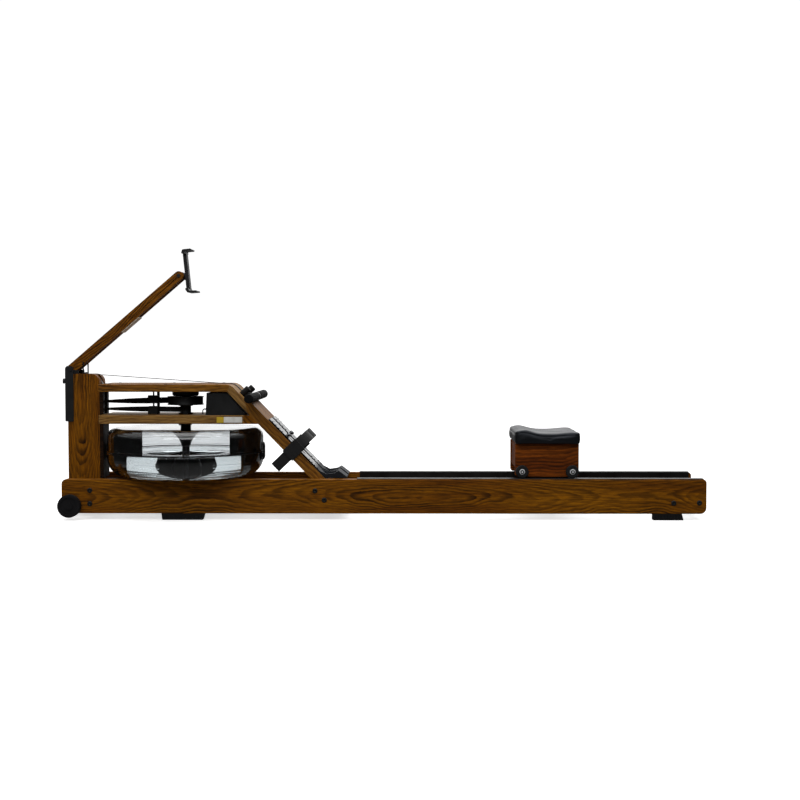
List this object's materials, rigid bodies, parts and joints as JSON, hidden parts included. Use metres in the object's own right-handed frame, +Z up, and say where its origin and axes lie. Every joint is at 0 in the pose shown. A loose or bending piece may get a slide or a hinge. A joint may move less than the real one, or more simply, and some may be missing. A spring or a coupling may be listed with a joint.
{
  "type": "rowing machine",
  "caption": "Wooden rowing machine with a clear round water tank, a strap-pulled handle, a seat rolling on two long rails and a folding tablet arm.",
  "frame": {"origin": "middle of the machine's length and width, on the floor", "axes": "+X from the water tank towards the rear end of the rails, +Y to the rower's right, +Z up"},
  "size_m": [2.118, 0.524, 0.8856],
  "materials": {
    "dark_wood": "oiled",
    "light_wood": "oiled",
    "seat_wood": "oiled",
    "black_plastic": "satin",
    "black_rubber": "matte",
    "grip_foam": "matte",
    "black_steel": "satin",
    "bright_steel": "brushed",
    "handle_metal": "satin",
    "clear_shell": "clear",
    "webbing": "woven",
    "cable_skin": "matte",
    "seat_cover": "smooth",
    "water": "clear"
  },
  "bodies": {
    "frame": {"rail_left": "dark_wood", "rail_right": "dark_wood", "seat_tracks": "black_plastic", "upright_left": "dark_wood", "upright_right": "dark_wood", "crosspieces": "dark_wood", "top_deck": "dark_wood", "deck_nose": "light_wood", "lower_deck": "light_wood", "cleats": "dark_wood", "footboard": "dark_wood", "rubber_feet": "black_rubber", "rail_bolts": "black_steel", "steel_axles": "bright_steel", "tank_lower": "clear_shell", "tank_upper": "clear_shell", "tank_gasket": "black_rubber", "tank_clips": "black_plastic", "shaft_shroud": "black_plastic", "bearing_housing": "black_plastic", "shaft_bearings": "bright_steel", "sensor_housing": "black_plastic", "sensor_cable": "cable_skin", "strap_guides": "black_plastic", "handle_posts": "black_rubber", "foot_pins": "bright_steel", "foot_straps": "webbing", "arm_bracket": "black_steel", "arm_pads": "black_rubber", "drive_strap": "webbing", "recoil_strap": "webbing", "bungee_cord": "cable_skin"},
    "plug": {"fill_plug": "black_rubber"},
    "front_pulley": {"front_pulley": "black_plastic"},
    "recoil_pulley": {"recoil_pulley": "black_plastic"},
    "spool": {"drive_spool": "black_plastic"},
    "paddle": {"drive_shaft": "bright_steel", "paddle": "black_plastic"},
    "handle": {"strap_lead": "webbing", "handle_bar": "handle_metal", "handle_grips": "grip_foam", "handle_clip": "black_plastic"},
    "seat": {"seat_box": "seat_wood", "seat_pad": "seat_cover", "seat_axles": "bright_steel", "seat_guides": "black_plastic"},
    "wheel_fl": {"seat_wheel_front_left": "black_plastic"},
    "wheel_fr": {"seat_wheel_front_right": "black_plastic"},
    "wheel_rl": {"seat_wheel_rear_left": "black_plastic"},
    "wheel_rr": {"seat_wheel_rear_right": "black_plastic"},
    "roller_left": {"transport_wheel_left": "black_rubber"},
    "roller_right": {"transport_wheel_right": "black_rubber"},
    "heel_left": {"heel_rest_left": "black_plastic"},
    "heel_right": {"heel_rest_right": "black_plastic"},
    "arm": {"arm_bars": "dark_wood"},
    "stay": {"arm_stay": "black_steel"},
    "knob": {"arm_knob": "black_plastic"},
    "neck": {"holder_neck": "black_plastic"},
    "cradle": {"holder_back": "black_plastic"},
    "jaw": {"holder_jaw": "black_plastic"}
  },
  "joints": [
    {"name": "seat_slide", "type": "slide", "parent": "frame", "child": "seat", "axis": [1, 0, 0], "range_m": [-0.505, 0.385]},
    {"name": "seat_wheel_fl_roll", "type": "hinge", "parent": "seat", "child": "wheel_fl", "pos_m": [0.4633, -0.121, 0.1566], "axis": [0, 1, 0], "continuous": true},
    {"name": "seat_wheel_fr_roll", "type": "hinge", "parent": "seat", "child": "wheel_fr", "pos_m": [0.4633, 0.121, 0.1566], "axis": [0, 1, 0], "continuous": true},
    {"name": "seat_wheel_rl_roll", "type": "hinge", "parent": "seat", "child": "wheel_rl", "pos_m": [0.6267, -0.121, 0.1566], "axis": [0, 1, 0], "continuous": true},
    {"name": "seat_wheel_rr_roll", "type": "hinge", "parent": "seat", "child": "wheel_rr", "pos_m": [0.6267, 0.121, 0.1566], "axis": [0, 1, 0], "continuous": true},
    {"name": "handle_pull", "type": "slide", "parent": "frame", "child": "handle", "axis": [0.9945, 0, 0.1045], "range_m": [0, 1.2], "stiffness_N_per_m": 15, "springref_m": -0.6, "deforming": ["strap_lead"]},
    {"name": "front_pulley_turn", "type": "hinge", "parent": "frame", "child": "front_pulley", "pos_m": [-0.969, 0, 0.425], "axis": [0, 1, 0], "continuous": true},
    {"name": "spool_turn", "type": "hinge", "parent": "frame", "child": "spool", "pos_m": [-0.65, 0, 0.38], "axis": [0, 0, 1], "continuous": true},
    {"name": "recoil_pulley_turn", "type": "hinge", "parent": "frame", "child": "recoil_pulley", "pos_m": [-0.969, 0, 0.33], "axis": [0, 1, 0], "continuous": true},
    {"name": "paddle_spin", "type": "hinge", "parent": "frame", "child": "paddle", "pos_m": [-0.65, 0, 0.2], "axis": [0, 0, 1], "continuous": true},
    {"name": "roller_left_roll", "type": "hinge", "parent": "frame", "child": "roller_left", "pos_m": [-1.0045, -0.1525, 0.0465], "axis": [0, 1, 0], "continuous": true},
    {"name": "roller_right_roll", "type": "hinge", "parent": "frame", "child": "roller_right", "pos_m": [-1.0045, 0.1525, 0.0465], "axis": [0, 1, 0], "continuous": true},
    {"name": "heel_left_slide", "type": "slide", "parent": "frame", "child": "heel_left", "axis": [-0.6947, 0, 0.7193], "range_m": [0, 0.057]},
    {"name": "heel_right_slide", "type": "slide", "parent": "frame", "child": "heel_right", "axis": [-0.6947, 0, 0.7193], "range_m": [0, 0.057]},
    {"name": "arm_lift", "type": "hinge", "parent": "frame", "child": "arm", "pos_m": [-1.0242, 0, 0.4882], "axis": [0, -1, 0], "range_deg": [0, 50]},
    {"name": "stay_fold", "type": "hinge", "parent": "arm", "child": "stay", "pos_m": [-0.9835, 0, 0.51], "axis": [0, -1, 0], "range_deg": [0, 110]},
    {"name": "knob_turn", "type": "hinge", "parent": "frame", "child": "knob", "pos_m": [-1.05, 0, 0.4476], "axis": [1, 0, 0], "continuous": true},
    {"name": "holder_tilt", "type": "hinge", "parent": "arm", "child": "neck", "pos_m": [-0.6656, 0, 0.79664], "axis": [0, 1, 0], "range_deg": [-40, 40]},
    {"name": "cradle_spin", "type": "hinge", "parent": "neck", "child": "cradle", "pos_m": [-0.65066, 0, 0.79578], "axis": [0.9951, 0, 0.0993], "range_deg": [-90, 90]},
    {"name": "jaw_stretch", "type": "slide", "parent": "cradle", "child": "jaw", "axis": [-0.0993, 0, 0.9951], "range_m": [0, 0.05], "stiffness_N_per_m": 120, "springref_m": -0.02},
    {"name": "plug_lift", "type": "slide", "parent": "frame", "child": "plug", "axis": [0, 0, 1], "range_m": [0, 0.03]}
  ],
  "couplings": [
    {"joint": "seat_wheel_fl_roll", "follows": "seat_slide", "rad_per_m": 47.619},
    {"joint": "seat_wheel_fr_roll", "follows": "seat_slide", "rad_per_m": 47.619},
    {"joint": "seat_wheel_rl_roll", "follows": "seat_slide", "rad_per_m": 47.619},
    {"joint": "seat_wheel_rr_roll", "follows": "seat_slide", "rad_per_m": 47.619},
    {"joint": "front_pulley_turn", "follows": "handle_pull", "rad_per_m": 21.645},
    {"joint": "spool_turn", "follows": "handle_pull", "rad_per_m": 16.892},
    {"joint": "recoil_pulley_turn", "follows": "handle_pull", "rad_per_m": 12.87}
  ]
}
